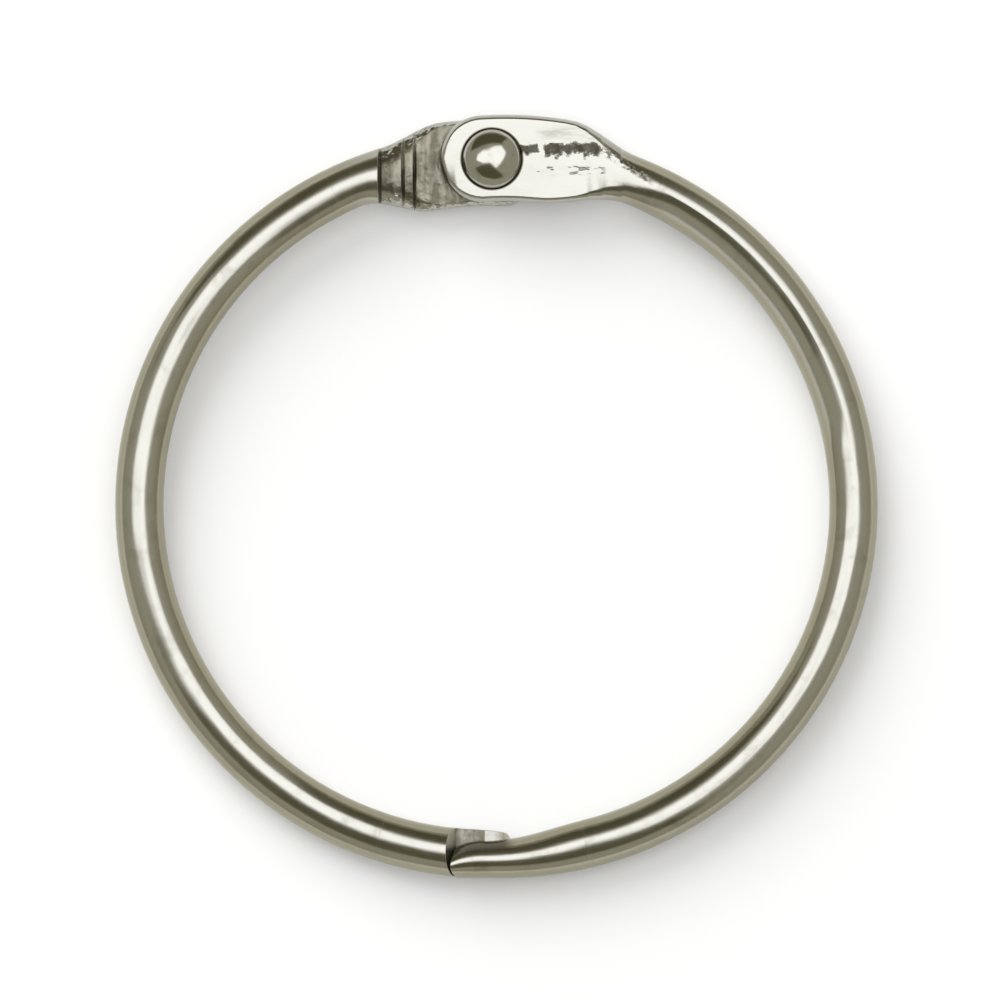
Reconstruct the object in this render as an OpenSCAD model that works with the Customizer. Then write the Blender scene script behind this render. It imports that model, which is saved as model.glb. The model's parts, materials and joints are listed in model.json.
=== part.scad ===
// Hinged binder ring: two half rings of round steel wire turn on one rivet and close
// with a hooked half-lap clasp. Both halves have the same form: the wire's upper end is
// pressed flat to a riveted tab, and its lower end is a tongue of half the thickness.
// Millimetres. The ring lies in XY about the origin, with its hinge at +Y, its clasp at
// -Y and the rivet's round head at +Z.

/* [Ring] */
// Clear width inside the closed ring
inside_w = 50.8; // [36:0.1:76]
// Diameter of the round wire
wire_d = 3.7; // [2.8:0.1:4.6]
// Distance of each half's bend centre from the middle of the ring
spread = 0.65; // [0:0.05:1.5]

/* [Pressed tabs] */
// Width of a tab over its bulged edges
tab_w = 6.6; // [5.8:0.1:8.4]
// Thickness of a tab
tab_t = 1.65; // [1.3:0.05:2.1]
// How far a tab's edges bulge beyond its flat faces
tab_bulge = 0.45; // [0.2:0.05:0.8]
// Distance from the rivet to the centre of a tab's round end
tab_end = 0.7; // [0:0.1:1.2]
// How far the left tab's middle lies inside the rivet
left_tab_in = 0.2; // [-0.3:0.05:0.6]
// How far the right tab's middle lies inside the rivet
right_tab_in = -0.1; // [-0.3:0.05:0.6]
// Distances from the rivet between which the left tab's face rises to the round wire
left_press = [5.5, 12.5]; // [2:0.1:14]
// The same for the right tab
right_press = [6, 13]; // [2:0.1:14]
// Distances from the rivet between which the left tab's outer edge draws in to the wire
left_outer = [4, 8.6]; // [2:0.1:14]
// The same for its inner edge
left_inner = [4.5, 10.4]; // [2:0.1:14]
// The same for the right tab's outer edge
right_outer = [6, 11.2]; // [2:0.1:14]
// The same for the right tab's inner edge
right_inner = [3.4, 10.6]; // [2:0.1:14]
// Distances from the rivet of the three steps pressed under the left tab's root
left_steps = [5.9, 6.8, 8.6]; // [5:0.1:14]
// The same for the right tab
right_steps = [7.2, 8.3, 9.9]; // [5:0.1:14]
// Heights of the two lower steps
step_rise = [0.45, 0.55]; // [0.2:0.05:0.7]
// Length of the slope at each step
step_run = 0.3; // [0.2:0.05:0.5]
// Gap between the two tabs' facing sides
lap_gap = 0.04; // [0.02:0.01:0.1]

/* [Rivet] */
// Distance of the rivet to the left of the ring's middle
rivet_left = 0.35; // [0:0.05:1]
// How far the rivet lies inside the wire's centre line
rivet_in = 0.25; // [0:0.05:0.6]
// Diameter of the rivet's shank
shank_d = 2.6; // [2:0.1:3]
// Diameter of the round head
head_d = 4.7; // [3.8:0.1:5.4]
// Height of the round head
head_h = 1.4; // [1:0.05:2.3]
// Diameter of the upset tail
tail_d = 4.3; // [3.6:0.1:5.2]
// Height of the upset tail
tail_h = 1.1; // [0.6:0.05:1.5]
// Clearance round the shank in the tab that turns on it
turn_gap = 0.05; // [0.03:0.01:0.1]
// Gap under the round head
head_gap = 0.03; // [0.02:0.01:0.1]

/* [Clasp] */
// Distance of the clasp's middle to the left of the ring's middle
clasp_left = 1.1; // [0:0.1:2]
// Length over which the two tongues lap
lap_l = 4; // [3:0.1:6]
// How far the hooks bite into each other
bite = 0.36; // [0.1:0.02:0.6]
// Length of the hooks' sloping flank
bite_run = 0.4; // [0.2:0.05:0.8]
// How far each end face leans over its own height
end_lean = 1.4; // [0:0.05:1.8]
// Gap in front of each tongue's end
end_gap = 0.35; // [0.1:0.05:0.6]
// Gap between the hooks' facing sides
seam_gap = 0.04; // [0.02:0.01:0.1]
// How much narrower the right half's tongue is than the wire, on its inner side
right_waist = 0.85; // [0:0.05:1.2]
// Length of the rounding at the tip of the right half's tongue
right_nose_l = 3; // [1:0.1:5]
// How much that rounding takes off the inner side at the end
right_nose_cut = 2; // [0:0.1:2.2]
// How much narrower the left half's tongue is than the wire
left_waist = 0; // [0:0.05:1.2]
// Length of the rounding at the tip of the left half's tongue
left_nose_l = 4; // [1:0.1:5]
// How much that rounding takes off the inner side at the end
left_nose_cut = 0.9; // [0:0.1:2.2]
// Distances past the lap's start between which a tongue narrows to its waist
waist_span = [-6, 2]; // [-8:0.1:2]

/* [Hidden] */

// points round a wire section, a multiple of 4
section_n = 48;
wire_r = wire_d / 2;
bend_r = inside_w / 2 - spread + wire_r;
// this height of the bend centres puts the origin in the middle of the ring's length
bend_y = (wire_r + rivet_in + right_tab_in - tab_w / 2) / 2;
rivet_y = bend_y + bend_r - rivet_in;
tab_face = lap_gap / 2 + tab_t;
// greatest spacing of the sections along a tab or a tongue, and round a tongue's nose
tab_pitch = 0.8;
nose_pitch = 0.3;
// how far inside the round wire a tongue's first section lies, so that none lies at its end
nose_root = 1.5 * tab_pitch;
// number of sections round a tab's end
end_n = 16;
// how far the pressed sections lie inside the round wire where they run into it
inset = 0.01;
// how far cutters reach past what they cut
past = 1;
// how far the rivet's shank runs on inside its head and its tail
shank_root = 0.1;

// 0 before the first value, 1 after the second, and a smooth rise between them
function rise(at, span) =
    let (t = min(max((at - span[0]) / (span[1] - span[0]), 0), 1)) t * t * (3 - 2 * t);

// one point of a section: an oval with a flat below and one above, between bulged sides
function oval_point(turn, half, bulges, low, high) =
    let (bulge = sin(turn) < 0 ? bulges[0] : bulges[1])
    [sign(cos(turn)) * (half - bulge) + bulge * cos(turn),
     (high + low) / 2 + (high - low) / 2 * sin(turn)];

function oval(half, bulges, low, high) =
    [for (i = [0:section_n - 1]) oval_point(360 * i / section_n, half, bulges, low, high)];

// a section stood on its point of the wire's line, with its first axis along "out"
function stand(point, out, outline) =
    [for (q = outline) [point.x + out.x * q.x, point.y + out.y * q.x, q.y]];

// height of a tab's lap side: flat at the rivet, then three steps down to the round wire
function lap_level(s, steps) =
    lap_gap / 2
    - step_rise[0] * rise(s, [steps[0], steps[0] + step_run])
    - step_rise[1] * rise(s, [steps[1], steps[1] + step_run])
    - (wire_r - inset + lap_gap / 2 - step_rise[0] - step_rise[1])
        * rise(s, [steps[2], steps[2] + step_run]);

// direction from the bend centre to the wire's line, s mm past the rivet
function tab_turn(s, rivet_x) =
    asin((rivet_x - spread) / bend_r) + s / bend_r * 180 / PI;

// how far a tab reaches to one side of the wire's line, s mm past the rivet
function reach_at(s, full, span) = full + (wire_r - inset - full) * rise(s, span);

// a tab's section, s mm past the rivet: its round end, its flat and its change to wire.
// The face side turns round over the press's length, and the lap side from where the
// outer edge draws in to its last step. The press works straight across the tab, so
// sections face along X up to that step.
function tab_section(s, rivet_x, tab_in, press, outer, inner, steps) =
    let (face_k = rise(s, press), lap_k = rise(s, [outer[0], steps[2] + step_run]),
         turn = tab_turn(max(s, -tab_end), rivet_x),
         out_reach = reach_at(s, tab_w / 2 - rivet_in - tab_in, outer),
         in_reach = reach_at(s, tab_w / 2 + rivet_in + tab_in, inner),
         line_r = bend_r + (out_reach - in_reach) / 2,
         past_press = (s - steps[2] - step_run) / (press[1] - steps[2] - step_run),
         facing = turn * min(max(past_press, 0), 1), out = [sin(facing), cos(facing)],
         reach = (out_reach + in_reach) / 2, core = reach - tab_bulge,
         end = max(-tab_end - s, 0),
         half = sqrt(reach * reach - end * end) / cos(turn - facing),
         flat = sqrt(max(core * core - end * end, 0)) / cos(turn - facing),
         thin = sqrt(1 - pow(max(end - core, 0) / tab_bulge, 2)),
         low = lap_level(s, steps), high = tab_face + (wire_r - inset - tab_face) * face_k,
         middle = (low + high) / 2, deep = (high - low) / 2 * thin)
    stand([spread, bend_y] + line_r * [sin(turn), cos(turn)] - [end, 0], out,
          oval(half, [half - flat * (1 - lap_k), half - flat * (1 - face_k)],
               middle - deep, middle + deep));

// a tongue's section, t mm before the lowest point of the wire's line: narrowed to its
// waist about where the lap begins, and rounded off on the inner side at its tip
function nose_section(t, lap_start, waist, nose_start, nose_l, nose_cut) =
    let (round_off = 1 - sqrt(1 - pow(min(max(nose_start - t, 0) / nose_l, 1), 2)),
         taper = min(waist * rise(lap_start - t, waist_span) + nose_cut * round_off,
                     1.7 * wire_r),
         turn = 180 - max(t, 0) / bend_r * 180 / PI, out = [sin(turn), cos(turn)],
         half = wire_r - inset - taper / 2)
    stand([spread + min(t, 0), bend_y] + (bend_r + taper / 2) * out, out,
          oval(half, [half, half], -wire_r + inset, wire_r - inset));

// evenly spaced places from one to another, at most "pitch" apart, without the last
function places(from, to, pitch) =
    let (n = ceil(abs(to - from) / pitch)) [for (i = [0:n - 1]) from + (to - from) * i / n];

// a closed skin over a row of sections
module skin(rings) {
    n = section_n;
    last = len(rings) - 1;
    sides = [for (k = [0:last - 1], i = [0:n - 1])
        let (a = k * n + i, b = k * n + (i + 1) % n) each [[a, a + n, b + n], [a, b + n, b]]];
    first_cap = [for (i = [0:n - 1]) i];
    last_cap = [for (i = [n - 1:-1:0]) last * n + i];
    polyhedron([for (ring = rings) each ring], concat(sides, [first_cap, last_cap]));
}

// pressed tab with its bore, from its round end into the round wire
module tab(rivet_x, bore_d, tab_in, press, outer, inner, steps) {
    round_end = [for (i = [end_n:-1:1]) -tab_end - tab_w / 2 * sin(88 * sin(90 * i / end_n))];
    stepped = [for (i = [0:2]) each concat(
        places(i == 0 ? -tab_end : steps[i - 1] + step_run, steps[i], tab_pitch),
        places(steps[i], steps[i] + step_run, step_run / 4))];
    root = concat(places(steps[2] + step_run, press[1], tab_pitch),
                  [press[1], press[1] + tab_pitch]);
    difference() {
        skin([for (s = concat(round_end, stepped, root))
            tab_section(s, rivet_x, tab_in, press, outer, inner, steps)]);
        translate([rivet_x, rivet_y, -past])
            cylinder(d = bore_d, h = tab_face + 2 * past, $fn = 64);
    }
}

// round wire between two directions from the bend centre, counted from the hinge
module wire(from, to) {
    translate([spread, bend_y, 0])
        rotate(90 - to)
            rotate_extrude(angle = to - from, $fn = 240)
                translate([bend_r, 0])
                    polygon(oval(wire_r, [wire_r, wire_r], -wire_r, wire_r));
}

// all that the other half's tongue takes of this one at the clasp
module clasp_cut(clasp_x) {
    reach = wire_r + past;
    lean = end_lean / wire_d * (reach + bite / 2);
    hook = bite / 2 + seam_gap / 2;
    unhook = seam_gap / 2 - bite / 2;
    tip = -lap_l / 2 + end_gap;
    translate([clasp_x, bend_y - bend_r + reach, 0])
        rotate([90, 0, 0])
            linear_extrude(2 * reach)
                polygon([[lap_l / 2 + lean, -reach], [lap_l / 2, hook], [bite_run / 2, hook],
                         [-bite_run / 2, unhook], [tip, unhook], [tip - lean, reach],
                         [tip - lean - 2 * reach, reach], [tip - lean - 2 * reach, -reach]]);
}

// one half of the ring: its tab at the top, its wire on the right, its tongue at the left
module half_ring(rivet_x, bore_d, tab_in, press, outer, inner, steps,
                 clasp_x, waist, nose_l, nose_cut) {
    lap_start = clasp_x + lap_l / 2 - spread;
    tongue_end = lap_start - lap_l - end_lean;
    nose_start = tongue_end + end_gap + nose_l;
    wire_end = max(lap_start + max(end_lean, -waist_span[0]), nose_start);
    tab(rivet_x, bore_d, tab_in, press, outer, inner, steps);
    difference() {
        union() {
            wire(tab_turn(press[1], rivet_x), 180 - wire_end / bend_r * 180 / PI);
            skin([for (t = concat(places(wire_end + nose_root, nose_start, tab_pitch),
                                  places(nose_start, tongue_end, nose_pitch), [tongue_end]))
                nose_section(t, lap_start, waist, nose_start, nose_l, nose_cut)]);
        }
        clasp_cut(clasp_x);
    }
}

// a low dome on XY, part of a ball
module dome(d, h) {
    ball_r = (h * h + d * d / 4) / (2 * h);
    intersection() {
        translate([0, 0, h - ball_r])
            sphere(r = ball_r, $fn = 96);
        cylinder(d = d + past, h = h + past, $fn = 64);
    }
}

// the half that carries the rivet, turned over so that its tab lies behind
module left_half() {
    color("#a09a80")
        rotate([0, 180, 0])
            half_ring(rivet_left, shank_d, left_tab_in, left_press, left_outer, left_inner,
                      left_steps, clasp_left, left_waist, left_nose_l, left_nose_cut);
}

module right_half() {
    color("#c8c3ad")
        half_ring(-rivet_left, shank_d + 2 * turn_gap, right_tab_in, right_press,
                  right_outer, right_inner, right_steps,
                  -clasp_left, right_waist, right_nose_l, right_nose_cut);
}

module rivet() {
    color("#8d8668")
        translate([-rivet_left, rivet_y, 0]) {
            translate([0, 0, -tab_face - shank_root])
                cylinder(d = shank_d, h = 2 * (tab_face + shank_root) + head_gap, $fn = 64);
            translate([0, 0, tab_face + head_gap])
                dome(head_d, head_h);
            translate([0, 0, -tab_face])
                mirror([0, 0, 1])
                    dome(tail_d, tail_h);
        }
}

left_half();
right_half();
rivet();
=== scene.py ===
import bpy
import json
import math
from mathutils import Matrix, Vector


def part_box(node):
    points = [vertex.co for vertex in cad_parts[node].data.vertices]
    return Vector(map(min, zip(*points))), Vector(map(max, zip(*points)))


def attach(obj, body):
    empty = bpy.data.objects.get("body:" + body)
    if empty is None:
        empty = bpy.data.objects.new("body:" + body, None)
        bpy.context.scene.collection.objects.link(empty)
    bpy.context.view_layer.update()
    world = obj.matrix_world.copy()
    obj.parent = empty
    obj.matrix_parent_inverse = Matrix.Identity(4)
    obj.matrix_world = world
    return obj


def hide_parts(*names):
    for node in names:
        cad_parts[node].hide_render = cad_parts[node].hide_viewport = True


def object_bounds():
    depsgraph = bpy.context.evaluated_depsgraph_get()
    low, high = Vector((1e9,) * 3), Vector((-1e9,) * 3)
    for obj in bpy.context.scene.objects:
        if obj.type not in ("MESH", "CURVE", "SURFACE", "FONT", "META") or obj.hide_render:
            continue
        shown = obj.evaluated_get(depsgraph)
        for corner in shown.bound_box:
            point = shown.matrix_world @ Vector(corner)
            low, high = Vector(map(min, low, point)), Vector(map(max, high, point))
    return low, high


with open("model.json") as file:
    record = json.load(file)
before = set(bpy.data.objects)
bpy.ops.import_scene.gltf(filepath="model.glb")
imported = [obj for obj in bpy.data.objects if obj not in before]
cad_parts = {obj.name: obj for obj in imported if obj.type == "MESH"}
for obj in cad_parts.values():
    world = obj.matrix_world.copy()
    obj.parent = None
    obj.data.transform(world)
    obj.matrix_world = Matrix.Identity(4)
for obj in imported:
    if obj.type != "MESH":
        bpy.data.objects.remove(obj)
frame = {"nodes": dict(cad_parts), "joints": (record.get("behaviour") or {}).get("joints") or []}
cad_lo, cad_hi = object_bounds()

MM = 0.001
nodes = frame["nodes"]
hinge = Vector(frame["joints"][0]["pos_m"])
clasp_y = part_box("right_half")[0].y
wire_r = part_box("right_half")[1].z
# each half is bent to a circle whose centre lies this far from the middle of the ring
spread = 0.65 * MM
bend_r = cad_hi.x - spread - wire_r
bend_y = clasp_y + wire_r + bend_r
# the middle of the clasp's lap
clasp_x = -1.1 * MM
# outer face of a tab, the room under the rivet's head, and the rivet's radii
tab_face = 1.67 * MM
head_gap = 0.03 * MM
head_r = 2.35 * MM
tail_r = 2.15 * MM
shank_r = 1.3 * MM


class Graph:
    """A node tree, with a short call for each kind of node that the looks are made of."""

    def __init__(self, tree):
        self.tree = tree
        tree.nodes.clear()

    def add(self, kind, **settings):
        node = self.tree.nodes.new(kind)
        for key, value in settings.items():
            setattr(node, key, value)
        return node

    def feed(self, socket, value):
        """Links an output to a socket, or writes a plain value into it."""
        if isinstance(value, bpy.types.NodeSocket):
            self.tree.links.new(value, socket)
        else:
            socket.default_value = value

    def filled(self, node, *values):
        """Feeds a node's inputs in their order."""
        for socket, value in zip(node.inputs, values):
            self.feed(socket, value)
        return node

    def calc(self, operation, *values):
        return self.filled(self.add("ShaderNodeMath", operation=operation), *values).outputs[0]

    def plus(self, a, b):
        return self.calc("ADD", a, b)

    def minus(self, a, b):
        return self.calc("SUBTRACT", a, b)

    def times(self, *factors):
        product = factors[0]
        for factor in factors[1:]:
            product = self.calc("MULTIPLY", product, factor)
        return product

    def most(self, *values):
        highest = values[0]
        for value in values[1:]:
            highest = self.calc("MAXIMUM", highest, value)
        return highest

    def size(self, value):
        """A value without its sign."""
        return self.calc("ABSOLUTE", value)

    def reach(self, a, b):
        """The distance that a and b, at right angles, make together."""
        return self.calc("SQRT", self.plus(self.times(a, a), self.times(b, b)))

    def apart(self, vector):
        return self.filled(self.add("ShaderNodeSeparateXYZ"), vector).outputs

    def joined(self, x, y, z):
        return self.filled(self.add("ShaderNodeCombineXYZ"), x, y, z).outputs[0]

    def ramp(self, value, start, end, low=0.0, high=1.0):
        """Low before start, high after end, and smooth between them."""
        node = self.add("ShaderNodeMapRange", interpolation_type="SMOOTHSTEP")
        return self.filled(node, value, start, end, low, high).outputs[0]

    def fall(self, value, start, end):
        """1 before start, 0 after end, and smooth between them."""
        return self.ramp(value, start, end, low=1.0, high=0.0)

    def band(self, value, middle, half, edge):
        """1 within half of the middle, fading to 0 over the edge outside it."""
        return self.fall(self.size(self.minus(value, middle)), half, half + edge)

    def scaled(self, vector, per_mm):
        node = self.add("ShaderNodeVectorMath", operation="MULTIPLY")
        return self.filled(node, vector, [n / MM for n in per_mm]).outputs[0]

    def noise(self, vector, per_mm, detail=3.0, rough=0.5):
        """Soft noise from 0 to 1 with so many features to a millimetre along x, y and z."""
        node = self.add("ShaderNodeTexNoise")
        node.inputs["Scale"].default_value = 1.0
        node.inputs["Detail"].default_value = detail
        node.inputs["Roughness"].default_value = rough
        self.feed(node.inputs["Vector"], self.scaled(vector, per_mm))
        return node.outputs[0]

    def bump(self, height, depth, normal):
        """Raises the surface by height times depth, on top of an earlier normal."""
        node = self.add("ShaderNodeBump")
        node.inputs["Distance"].default_value = depth
        self.feed(node.inputs["Height"], height)
        self.feed(node.inputs["Normal"], normal)
        return node.outputs[0]

    def mixed(self, share, a, b):
        """Colour a, with so much of colour b laid over it."""
        node = self.add("ShaderNodeMix", data_type="RGBA")
        self.feed(node.inputs["Factor"], share)
        self.feed(node.inputs["A"], a)
        self.feed(node.inputs["B"], b)
        return node.outputs["Result"]


def graph_of(owner):
    owner.use_nodes = True
    return Graph(owner.node_tree)


# ---------- stage: camera, floor, light ----------

WHITE = (1, 1, 1, 1)
PAPER = (0.82, 0.82, 0.82, 1)
BROWN = (1.0, 0.92, 0.5, 1)
WARM = (1.0, 0.95, 0.74, 1)

# outlines of the cards overhead, x and y in metres for a card that hangs 1 m up
SOFT_BOX = [(-0.8, 0.02), (-0.68, 0.3), (-0.36, 0.46), (-0.16, 0.48), (0.14, 0.6), (0.48, 0.7),
            (0.7, 0.4), (0.47, 0.0), (0.34, -0.19), (0.2, -0.33), (0.0, -0.13), (-0.08, -0.07),
            (-0.33, -0.12)]
FLAG_CLASP = [(-1.05, -0.5), (-0.1, -0.1), (0.2, -0.38), (0.6, -0.75), (0.9, -1.3),
              (0.3, -1.45), (-0.6, -1.1)]
FLAG_HINGE = [(-1.9, 0.75), (-0.7, 0.7), (0.55, 0.85), (1.2, 1.75), (4.5, 6.0), (-4.0, 5.5)]


def camera():
    """Straight above the ring, with a long lens that takes in view_width at the ring."""
    view_width = 76.3 * MM
    view_height = 0.6
    off_middle = 0.27 * MM
    cam = bpy.data.objects.new("camera", bpy.data.cameras.new("camera"))
    bpy.context.scene.collection.objects.link(cam)
    middle = (cad_lo + cad_hi) / 2
    cam.location = (middle.x + off_middle, middle.y - off_middle, view_height)
    cam.data.sensor_width = 36.0
    cam.data.lens = cam.data.sensor_width * view_height / view_width
    cam.data.clip_start = 0.01
    cam.data.clip_end = 10.0
    bpy.context.scene.camera = cam


def plane(name, corners, material):
    """A flat card through its corners."""
    mesh = bpy.data.meshes.new(name)
    mesh.from_pydata(corners, [], [list(range(len(corners)))])
    mesh.materials.append(material)
    card = bpy.data.objects.new(name, mesh)
    bpy.context.scene.collection.objects.link(card)
    return card


def floor():
    """White paper, tilted as the ring rests: on its rivet's tail and its clasp. The camera
    and the metal see it lifted a little, so that it is white wherever no shadow falls."""
    lift_strength = 0.15
    half_width = 3.0
    clearance = 0.02 * MM
    paint = bpy.data.materials.new("floor_white")
    g = graph_of(paint)
    paper = g.add("ShaderNodeBsdfDiffuse")
    paper.inputs["Color"].default_value = PAPER
    path = g.add("ShaderNodeLightPath").outputs
    seen = g.most(path["Is Camera Ray"], path["Is Glossy Ray"], path["Is Transmission Ray"])
    lift = g.add("ShaderNodeEmission")
    g.feed(lift.inputs["Strength"], g.times(seen, lift_strength))
    both = g.filled(g.add("ShaderNodeAddShader"), paper.outputs[0], lift.outputs[0])
    g.feed(g.add("ShaderNodeOutputMaterial").inputs["Surface"], both.outputs[0])
    slope = (cad_lo.z + wire_r) / (hinge.y - clasp_y - wire_r)

    def corner(x, y):
        return (x, y, cad_lo.z + slope * (y - hinge.y) - clearance)

    plane("floor", [corner(-half_width, -half_width), corner(half_width, -half_width),
                    corner(half_width, half_width), corner(-half_width, half_width)], paint)


def glowing_card(name, outline, colour, strength, height):
    """A card overhead, which the camera doesn't see and which throws no shadow."""
    glow = bpy.data.materials.new(name)
    g = graph_of(glow)
    shade = g.filled(g.add("ShaderNodeEmission"), colour, strength)
    g.feed(g.add("ShaderNodeOutputMaterial").inputs["Surface"], shade.outputs[0])
    card = plane(name, [(x * height, y * height, height) for x, y in outline], glow)
    card.visible_camera = False
    card.visible_shadow = False


def key_light():
    """A very soft key, low from the left and beyond the hinge, for the floor's shadow."""
    towards = Vector((-0.86, 1.38, 1.0))
    key = bpy.data.objects.new("key", bpy.data.lights.new("key", "SUN"))
    bpy.context.scene.collection.objects.link(key)
    key.data.energy = 2.75
    key.data.angle = math.radians(50)
    key.rotation_euler = towards.to_track_quat("Z", "Y").to_euler()
    key.visible_glossy = False


def room():
    """The room's light: neutral where it falls on things, and warm where metal mirrors it."""
    strength = 0.46
    world = bpy.data.worlds.new("studio")
    bpy.context.scene.world = world
    g = graph_of(world)
    mirrored = g.add("ShaderNodeLightPath").outputs["Is Glossy Ray"]
    back = g.filled(g.add("ShaderNodeBackground"), g.mixed(mirrored, WHITE, WARM), strength)
    g.feed(g.add("ShaderNodeOutputWorld").inputs["Surface"], back.outputs[0])


def light():
    """One broad soft box overhead, a dark flag on each side of it, a soft key and the room."""
    glowing_card("soft_box", SOFT_BOX, WHITE, strength=1.95, height=0.5)
    glowing_card("flag_clasp", FLAG_CLASP, BROWN, strength=0.13, height=0.52)
    glowing_card("flag_hinge", FLAG_HINGE, BROWN, strength=0.12, height=0.54)
    key_light()
    room()


# ---------- looks: materials ----------

# the plating, where it is bright, where painted shade darkens its sides, tarnished, and seen at a
# grazing angle
NICKEL = (0.49, 0.485, 0.45, 1)
SIDE_SHADE = (0.31, 0.29, 0.20, 1)
TARNISH = (0.22, 0.20, 0.14, 1)
GRAZING = (0.45, 0.42, 0.33, 1)
# pressed metal, sawn metal, stains on them, and the dark of painted shade
SHEARED = (0.52, 0.50, 0.42, 1)
BARE = (0.75, 0.73, 0.65, 1)
STAINED = (0.15, 0.14, 0.105, 1)
PAINTED_SHADE = (0.05, 0.045, 0.03, 1)


def metal(name):
    """A metal with its colour, roughness and normal still to be fed, and worn edges rounded."""
    worn_r = 0.07 * MM
    material = bpy.data.materials.new(name)
    g = graph_of(material)
    shader = g.add("ShaderNodeBsdfPrincipled")
    shader.inputs["Metallic"].default_value = 1.0
    g.feed(g.add("ShaderNodeOutputMaterial").inputs["Surface"], shader.outputs[0])
    worn = g.add("ShaderNodeBevel", samples=6)
    worn.inputs["Radius"].default_value = worn_r
    return material, g, shader.inputs, worn.outputs[0]


def plating(g, facing_z, patches, sides, crown):
    """Nickel with painted shade down the sides: darker and browner where the surface faces up or
    down by less than sides, full nickel where it faces up or down by more than crown, with
    tarnished patches."""
    side_shade = g.fall(g.size(facing_z), sides, crown)
    return g.mixed(g.ramp(patches, 0.5, 0.8, high=0.35), g.mixed(side_shade, NICKEL, SIDE_SHADE), TARNISH)


class Place:
    """Where a point of a half ring lies, and which way its surface faces.
    Side is +1 on the half whose tab shows its lap side from above, and -1 on the other."""

    def __init__(self, g, side):
        where = g.add("ShaderNodeTexCoord").outputs
        self.side = side
        self.spot = where["Object"]
        self.x, self.y, self.z = g.apart(self.spot)
        self.facing_x, self.facing_y, self.facing_z = g.apart(where["Normal"])
        # round the centre of the bend, and away from it
        bend_dx = g.plus(self.x, side * spread)
        bend_dy = g.minus(self.y, bend_y)
        self.along = g.times(g.calc("ARCTAN2", bend_dy, bend_dx), bend_r)
        self.across = g.reach(bend_dx, bend_dy)
        self.lengthwise = g.joined(self.along, self.across, self.z)
        # from the rivet towards the wire, outwards from the rivet, and both together
        self.past_rivet = g.times(g.minus(self.x, hinge.x), -side)
        self.above_rivet = g.minus(self.y, hinge.y)
        self.from_rivet = g.reach(self.past_rivet, self.above_rivet)
        # the two ends of the half
        self.at_tab = g.ramp(self.y, 18 * MM, 19 * MM)
        self.at_clasp = g.fall(self.y, -22 * MM, -20 * MM)


def lap_side(g, at):
    """The side of a tab that the press has roughened: all of it, its flats, what is steep
    across the tab, and the stretches of what is steep that get painted shade."""
    lap_facing = g.times(at.facing_z, at.side)
    pressed = g.fall(at.past_rivet, 8.5 * MM, 8.8 * MM)
    area = g.times(g.ramp(lap_facing, 0.15, 0.3), at.at_tab, pressed)
    flats = g.times(area, g.ramp(lap_facing, 0.85, 0.97))
    steep = g.ramp(g.size(at.facing_x), 0.3, 0.55)
    uneven = g.ramp(g.noise(at.spot, (0.5, 0.35, 0.3), 2.0), 0.4, 0.55)
    # the last value is where the steps' steep walls are painted dark as shade
    return area, flats, steep, g.times(area, steep, uneven)


def clasp_cuts(g, at):
    """The clasp's sawn faces and which of them are level, the polished top of its hook, and
    where shade is painted: the inner side of its tongue and the nook at the other tongue's tip."""
    wire_mid = clasp_y + wire_r
    lengthwise = g.times(g.minus(at.x, clasp_x), at.side)
    near = g.times(g.band(at.x, clasp_x, half=3.3 * MM, edge=0.05 * MM), at.at_clasp)
    level = g.times(g.band(at.z, 0.0, half=0.3 * MM, edge=0.05 * MM),
                    g.ramp(g.size(at.facing_z), 0.8, 0.9))
    sawn = g.times(near, g.most(level, g.ramp(g.size(at.facing_x), 0.5, 0.6)))
    hook = g.times(near, level, g.ramp(g.times(at.z, at.side), 0.05 * MM, 0.1 * MM),
                   g.fall(lengthwise, 0.9 * MM, 1.5 * MM))
    tongue = g.times(at.at_clasp, g.ramp(lengthwise, -2.8 * MM, -1.5 * MM),
                     g.ramp(at.facing_y, 0.45, 0.8))
    nook = g.times(sawn, g.minus(1.0, level),
                   g.fall(at.y, wire_mid + 0.2 * MM, wire_mid + 0.8 * MM))
    return sawn, level, hook, g.most(tongue, nook)


def groove(g, at):
    """A ragged groove beside the rivet, broken once by a bridge of whole metal."""
    ragged = g.minus(g.noise(at.spot, (1.4, 1.4, 0.4), 5.0, 0.65), 0.5)
    under_top = g.fall(g.plus(at.above_rivet, g.times(ragged, 0.9 * MM)), 1.0 * MM, 1.2 * MM)
    over_foot = g.ramp(g.plus(at.above_rivet, g.times(ragged, 2.2 * MM)), 0.2 * MM, 0.6 * MM)
    sideways = g.plus(at.past_rivet, g.times(ragged, 1.2 * MM))
    stretch = g.band(sideways, middle=5.2 * MM, half=2.9 * MM, edge=0.3 * MM)
    bridge = g.band(sideways, middle=3.8 * MM, half=0.15 * MM, edge=0.2 * MM)
    return g.times(under_top, over_foot, stretch, g.minus(1.0, bridge))


def dents(g, at):
    """A row of small dents below the groove."""
    specks = g.ramp(g.noise(at.spot, (1.2, 4.0, 0.3), 1.0), 0.54, 0.66)
    return g.times(specks, g.band(at.above_rivet, middle=-0.9 * MM, half=0.2 * MM, edge=0.2 * MM),
                   g.band(at.past_rivet, middle=6.0 * MM, half=2.3 * MM, edge=0.5 * MM))


def scars(g, at):
    """Scars along the slanting edge where the face runs into the wire."""
    slant = 0.62
    torn = g.ramp(g.noise(at.spot, (2.4, 2.4, 2.4), 3.0, 0.6), 0.46, 0.6)
    outwards = g.plus(at.above_rivet, g.times(at.past_rivet, slant))
    return g.times(torn, g.band(outwards, middle=5.85 * MM, half=0.1 * MM, edge=0.4 * MM),
                   g.band(at.past_rivet, middle=9.8 * MM, half=1.8 * MM, edge=0.8 * MM))


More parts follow.
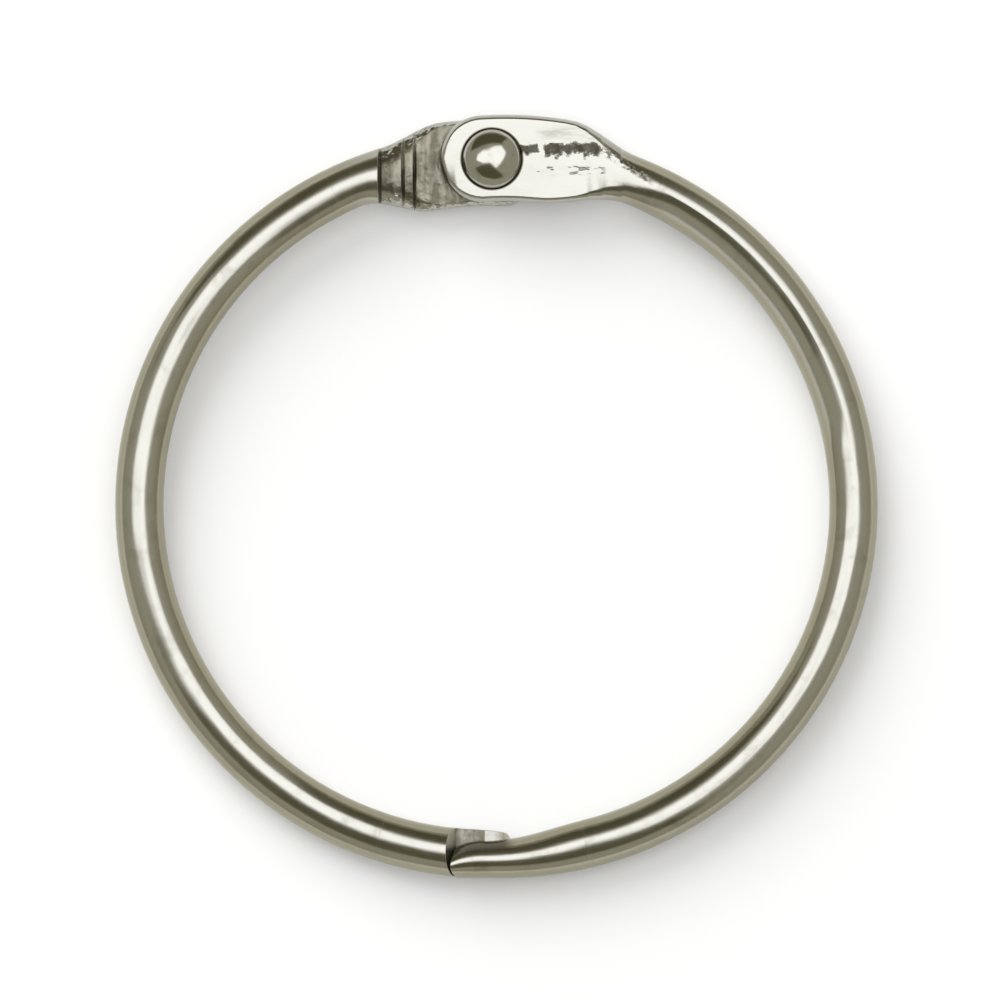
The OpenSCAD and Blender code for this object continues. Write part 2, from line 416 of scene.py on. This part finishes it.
def rubbed_streak(g, at):
    """A faint streak above the groove, where the plating is rubbed."""
    streaky = g.ramp(g.noise(at.spot, (0.5, 2.5, 0.3), 3.0), 0.4, 0.7)
    return g.times(streaky, g.band(at.above_rivet, middle=1.95 * MM, half=0.2 * MM, edge=0.5 * MM),
                   g.band(at.past_rivet, middle=5.8 * MM, half=1.8 * MM, edge=1.0 * MM))


def rolled_flat(g, at, normal):
    """The flat that the press has rolled along the inside of the crown, beside its tab."""
    lean = 0.25
    beside = g.band(at.along, middle=17.5 * MM, half=10 * MM, edge=4 * MM)
    inside = g.most(g.minus(bend_r + 0.12 * MM, at.across), 0.0)
    return g.bump(g.times(inside, beside), -lean, normal)


def drawn_wire(g, at, normal):
    """The slow waviness of bent wire, and the fine lines of the die it was drawn through."""
    wavy = g.bump(g.noise(at.spot, (0.1, 0.1, 0.1), 1.0), 0.4 * MM, normal)
    return g.bump(g.noise(at.lengthwise, (0.05, 7.0, 7.0), 2.0), 0.003 * MM, wavy)


def ridged(g, at, worked, normal):
    """Coarse ridges with small ones on them, as high as the wire was worked there."""
    coarse = g.minus(g.noise(at.spot, (1.1, 0.25, 0.8), 1.5), 0.5)
    small = g.minus(g.noise(at.spot, (1.5, 1.2, 1.5), 2.0), 0.5)
    ridges = g.plus(coarse, g.times(small, 0.5))
    return g.bump(g.times(ridges, worked), 0.5 * MM, normal)


def wire_metal(name, side):
    """Drawn and plated wire, matt, stained and ridged where a press or a saw has worked on it,
    with painted shade down its sides, on its steps, in its clasp, round the rivet and in its press
    marks.
    Side is +1 on the half whose tab shows its lap side from above, and -1 on the other."""
    material, g, inputs, normal = metal(name)
    at = Place(g, side)

    # where the press and the saw have been; the hook's top is polished again by use
    lap, lap_flat, steep, steps = lap_side(g, at)
    sawn, level, hook, clasp_shade = clasp_cuts(g, at)
    cut = g.minus(sawn, hook)
    face = g.times(g.ramp(g.times(at.facing_z, -side), 0.6, 0.8), at.at_tab)
    # press marks on the face, which get a shallow bump and a painted dark for the shade in them
    marks = g.times(face, g.most(groove(g, at), g.times(dents(g, at), 0.6),
                                 g.times(scars(g, at), 0.8)))
    rubbed = g.times(face, rubbed_streak(g, at))
    # painted shade on the face round the foot of the rivet's head
    rivet_foot_shade = g.times(face, g.fall(at.from_rivet, head_r, head_r + 0.12 * MM))

    # shape: the lap's slopes are ridged in full, its flats by a third, and sawn faces least
    normal = drawn_wire(g, at, normal)
    worked = g.most(g.minus(lap, g.times(lap_flat, 0.65)), g.times(cut, 0.15))
    normal = ridged(g, at, worked, normal)
    if side < 0:
        normal = rolled_flat(g, at, normal)
    g.feed(inputs["Normal"], g.bump(marks, -0.03 * MM, normal))

    # colour: the plating with its painted side shade, then what the press and the saw laid bare
    # with its stains, then painted shade on the steps, in the clasp, round the rivet and in the
    # press marks
    patches = g.noise(at.spot, (0.5, 0.5, 0.5), 4.0, 0.6)
    grime = g.noise(at.spot, (1.1, 0.5, 1.1), 4.0, 0.65)
    streaks = g.ramp(g.noise(at.spot, (1.8, 0.2, 0.8), 2.0), 0.35, 0.65)
    stains = g.plus(g.ramp(grime, 0.35, 0.65, low=0.5, high=0.85), g.times(streaks, 0.25))
    pressed = g.times(at.at_tab, g.fall(at.past_rivet, 7 * MM, 12 * MM))
    # the plating, with painted shade down the wire's sides
    colour = plating(g, at.facing_z, patches, sides=0.55, crown=0.95)
    # on the tab, most of the painted side shade is taken back to bright nickel
    colour = g.mixed(g.times(pressed, 0.7), colour, NICKEL)
    colour = g.mixed(g.times(rubbed, 0.4), colour, STAINED)
    colour = g.mixed(lap_flat, colour, g.mixed(stains, SHEARED, STAINED))
    colour = g.mixed(cut, colour, g.mixed(g.times(level, stains, 0.98), BARE, STAINED))
    # painted shade on steep stretches of the steps, on the inner side of the clasp's tongue and in
    # the nook at its tip
    colour = g.mixed(g.times(g.most(steps, clasp_shade), 0.8), colour, PAINTED_SHADE)
    # the painted shade round the rivet's foot
    colour = g.mixed(g.times(rivet_foot_shade, 0.8), colour, PAINTED_SHADE)
    # the press marks, painted dark as the shade in them
    colour = g.mixed(g.times(marks, g.ramp(grime, 0.3, 0.6, low=0.85)), colour, PAINTED_SHADE)
    g.feed(inputs["Base Color"], colour)

    # roughness: that of polished wire, and what the work on it adds
    polish = g.ramp(g.noise(at.lengthwise, (0.3, 1.5, 1.5), 3.0), 0.3, 0.7, low=0.18, high=0.23)
    matt = g.times(g.most(lap_flat, cut, marks), 0.15)
    torn = g.most(g.times(cut, g.minus(1.0, level), 0.4), g.times(lap, steep, 0.3))
    g.feed(inputs["Roughness"], g.plus(polish, g.most(matt, torn)))
    return material


def rivet_metal():
    """Turned and plated, with faint rings round its axis, painted shade down its head's sides and
    a ring of painted shade at the foot of its head.
    """
    material, g, inputs, normal = metal("nickel_rivet")
    where = g.add("ShaderNodeTexCoord").outputs
    spot = where["Object"]
    facing_z = g.apart(where["Normal"])[2]
    x, y, _ = g.apart(spot)
    out = g.reach(g.minus(x, hinge.x), g.minus(y, hinge.y))
    normal = g.bump(g.noise(spot, (0.4, 0.4, 0.4), 1.0), 0.06 * MM, normal)
    rings = g.noise(g.joined(out, 0.0, 0.0), (9.0, 1.0, 1.0), 2.0)
    g.feed(inputs["Normal"], g.bump(rings, 0.002 * MM, normal))
    patches = g.noise(spot, (1.2, 1.2, 1.2), 4.0, 0.6)
    # the plating, with painted shade down the dome's sides
    colour = plating(g, facing_z, patches, sides=0.15, crown=0.75)
    # a ring of painted shade at the foot of the head
    rim_shade = g.ramp(out, head_r - 0.25 * MM, head_r - 0.1 * MM)
    g.feed(inputs["Base Color"], g.mixed(g.times(rim_shade, 0.8), colour, PAINTED_SHADE))
    g.feed(inputs["Roughness"], g.ramp(patches, 0.3, 0.7, low=0.1, high=0.16))
    inputs["Specular Tint"].default_value = GRAZING
    return material


# ---------- the rivet with its oval head ----------

def dome(radius, base, tip, steps=18):
    """Profile of an oval dome from its tip to its rim."""
    turns = [math.radians(90 * i / steps) for i in range(steps + 1)]
    return [(radius * math.sin(t), base + (tip - base) * math.cos(t)) for t in turns]


def turned(name, profile, sides=96):
    """A closed solid turned about the hinge's axis; its profile starts and ends on that axis."""
    around = [math.tau * i / sides for i in range(sides)]
    # the two points on the axis come first, then one ring of points after the other
    points = [Vector((hinge.x, hinge.y, z)) for z in (profile[0][1], profile[-1][1])]
    points += [Vector((hinge.x + r * math.cos(a), hinge.y + r * math.sin(a), z))
               for r, z in profile[1:-1] for a in around]
    first_ring = 2
    last_ring = len(points) - sides
    faces = []
    for i in range(sides):
        j = (i + 1) % sides
        faces.append((0, first_ring + j, first_ring + i))
        faces.append((1, last_ring + i, last_ring + j))
        for ring in range(first_ring, last_ring, sides):
            faces.append((ring + i, ring + j, ring + sides + j, ring + sides + i))
    mesh = bpy.data.meshes.new(name)
    mesh.from_pydata(points, [], faces)
    piece = bpy.data.objects.new(name, mesh)
    bpy.context.scene.collection.objects.link(piece)
    return piece


def oval_rivet():
    """The rivet with its true oval head and tail, in the space of the plain CAD one."""
    lo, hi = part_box("rivet")
    head_base = tab_face + head_gap
    tail = dome(tail_r, -tab_face, lo.z)
    shank = [(shank_r, -tab_face), (shank_r, head_base)]
    head = dome(head_r, head_base, hi.z)
    piece = turned("oval_rivet", tail + shank + head[::-1])
    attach(piece, "fixed_half")
    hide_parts("rivet")
    return piece


# ---------- looks: shading of the meshes ----------

def smooth_group():
    """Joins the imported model's split corners, and shades its curved faces smooth up to the
    edges that turn by sharp_from or more."""
    weld_distance = 1e-6
    sharp_from = math.radians(28)
    group = bpy.data.node_groups.new("smooth_faces", "GeometryNodeTree")
    group.interface.new_socket("Geometry", in_out="INPUT", socket_type="NodeSocketGeometry")
    group.interface.new_socket("Geometry", in_out="OUTPUT", socket_type="NodeSocketGeometry")
    g = Graph(group)
    start = g.add("NodeGroupInput").outputs[0]
    plain = g.filled(g.add("GeometryNodeRemoveAttribute"), start)
    plain.inputs["Name"].default_value = "custom_normal"
    welded = g.filled(g.add("GeometryNodeMergeByDistance"), plain.outputs[0])
    welded.inputs["Distance"].default_value = weld_distance
    faces = g.filled(g.add("GeometryNodeSetShadeSmooth", domain="FACE"), welded.outputs[0])
    edges = g.filled(g.add("GeometryNodeSetShadeSmooth", domain="EDGE"), faces.outputs[0])
    angle = g.add("GeometryNodeInputMeshEdgeAngle").outputs["Unsigned Angle"]
    low = g.add("FunctionNodeCompare", data_type="FLOAT", operation="LESS_THAN")
    g.feed(low.inputs["A"], angle)
    g.feed(low.inputs["B"], sharp_from)
    g.feed(edges.inputs["Shade Smooth"], low.outputs[0])
    g.feed(g.add("NodeGroupOutput").inputs[0], edges.outputs[0])
    return group


def dress(piece, material, smooth):
    """Gives a piece its smooth shading and its material."""
    piece.modifiers.new("smooth_faces", "NODES").node_group = smooth
    piece.modifiers.new("even_normals", "WEIGHTED_NORMAL").keep_sharp = True
    if piece.material_slots:
        piece.material_slots[0].material = material
    else:
        piece.data.materials.append(material)


smooth = smooth_group()
dress(nodes["left_half"], wire_metal("nickel_left", side=1), smooth)
dress(nodes["right_half"], wire_metal("nickel_right", side=-1), smooth)
dress(oval_rivet(), rivet_metal(), smooth)

camera()
floor()
light()
bpy.context.scene.view_settings.view_transform = "Standard"
